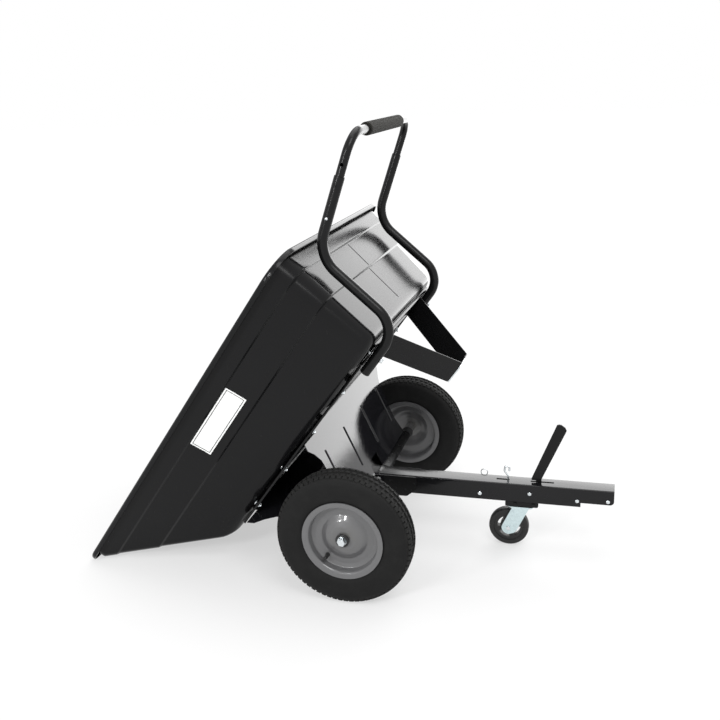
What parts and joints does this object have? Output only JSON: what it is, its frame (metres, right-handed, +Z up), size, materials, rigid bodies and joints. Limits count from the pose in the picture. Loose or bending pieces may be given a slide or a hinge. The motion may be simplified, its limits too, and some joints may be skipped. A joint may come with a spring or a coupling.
{
  "type": "garden tractor trailer",
  "caption": "Tipping garden trailer: a moulded tub on a wheeled axle, channel drawbar with latch lever and swivel caster, and a sliding push handle.",
  "frame": {"origin": "on the ground under the middle of the whole trailer's plan box", "axes": "+X across the trailer towards its right wheel as seen from behind, +Y towards the drawbar's nose, +Z up"},
  "size_m": [0.995, 1.6298, 1.3477],
  "materials": {
    "black_steel": "glossy black powder coat",
    "black_plastic": "glossy moulded black polypropylene",
    "grey_steel": "mid grey paint",
    "rubber": "dull black rubber",
    "foam": "matte closed-cell foam",
    "zinc": "bright zinc plate",
    "nylon": "black nylon",
    "tyre": "dull black rubber"
  },
  "bodies": {
    "chassis": {"axle_bracket": "black_steel", "axle_nut_left": "zinc", "axle_nut_right": "zinc", "axle_shaft": "zinc", "axle_washer_left": "zinc", "axle_washer_right": "zinc", "caster_ball_race": "zinc", "caster_bracket": "black_steel", "caster_kingpin": "zinc", "caster_top_plate": "zinc", "clevis_clip": "zinc", "clevis_pin": "zinc", "drawbar_bolt_front": "zinc", "drawbar_bolt_rear": "zinc", "drawbar_channel": "black_steel", "lever_pivot_bolt": "zinc", "nose_channel": "black_steel"},
    "tub": {"tub_shell": "black_plastic", "saddle_front_plate": "black_steel", "saddle_rear_plate": "black_steel", "pivot_tube_left": "black_steel", "pivot_tube_right": "black_steel", "bed_rail_left": "black_steel", "bed_rail_right": "black_steel", "bed_cross_member": "black_steel", "stand_strap_left": "black_steel", "stand_strap_right": "black_steel", "stand_foot": "zinc", "handle_tube_left": "black_steel", "handle_tube_right": "black_steel", "handle_foot_bolt_left": "zinc", "handle_foot_bolt_right": "zinc"},
    "push_handle": {"handle_loop": "black_steel", "handle_grip": "foam"},
    "snap_button_left": {"snap_button_left": "zinc"},
    "snap_button_right": {"snap_button_right": "zinc"},
    "release_lever": {"release_lever": "black_steel"},
    "lock_pin": {"lock_pin": "zinc"},
    "caster": {"caster_fork": "zinc", "caster_axle_bolt": "zinc"},
    "caster_wheel": {"caster_tread": "rubber", "caster_core": "black_plastic", "caster_bush": "zinc"},
    "wheel_left": {"tyre_left": "tyre", "rim_outer_left": "grey_steel", "rim_inner_left": "grey_steel", "hub_left": "grey_steel", "hub_bush_inner_left": "nylon", "hub_bush_outer_left": "nylon", "valve_left": "rubber"},
    "wheel_right": {"tyre_right": "tyre", "rim_outer_right": "grey_steel", "rim_inner_right": "grey_steel", "hub_right": "grey_steel", "hub_bush_inner_right": "nylon", "hub_bush_outer_right": "nylon", "valve_right": "rubber"}
  },
  "joints": [
    {"name": "tub_tip", "type": "hinge", "parent": "chassis", "child": "tub", "pos_m": [0, 0.07092, 0.203], "axis": [1, 0, 0], "range_deg": [-53.05, 0]},
    {"name": "wheel_spin_left", "type": "hinge", "parent": "chassis", "child": "wheel_left", "pos_m": [-0.412, 0.07092, 0.203], "axis": [1, 0, 0], "continuous": true},
    {"name": "wheel_spin_right", "type": "hinge", "parent": "chassis", "child": "wheel_right", "pos_m": [0.412, 0.07092, 0.203], "axis": [1, 0, 0], "continuous": true},
    {"name": "caster_swivel", "type": "hinge", "parent": "chassis", "child": "caster", "pos_m": [0, 0.53192, 0.14], "axis": [0, 0, 1], "continuous": true},
    {"name": "caster_wheel_spin", "type": "hinge", "parent": "caster", "child": "caster_wheel", "pos_m": [0, 0.49242, 0.0635], "axis": [1, 0, 0], "continuous": true},
    {"name": "release_lever_swing", "type": "hinge", "parent": "chassis", "child": "release_lever", "pos_m": [0, 0.55942, 0.196], "axis": [1, 0, 0], "range_deg": [0, 12]},
    {"name": "lock_pin_lift", "type": "slide", "parent": "chassis", "child": "lock_pin", "axis": [0, 0, 1], "range_m": [0, 0.05]},
    {"name": "push_handle_slide", "type": "slide", "parent": "tub", "child": "push_handle", "axis": [0, 0.3362, 0.9418], "range_m": [-0.0564, 0]},
    {"name": "snap_button_press_left", "type": "slide", "parent": "tub", "child": "snap_button_left", "axis": [1, 0, 0], "range_m": [0, 0.0045]},
    {"name": "snap_button_press_right", "type": "slide", "parent": "tub", "child": "snap_button_right", "axis": [-1, 0, 0], "range_m": [0, 0.0045]}
  ]
}
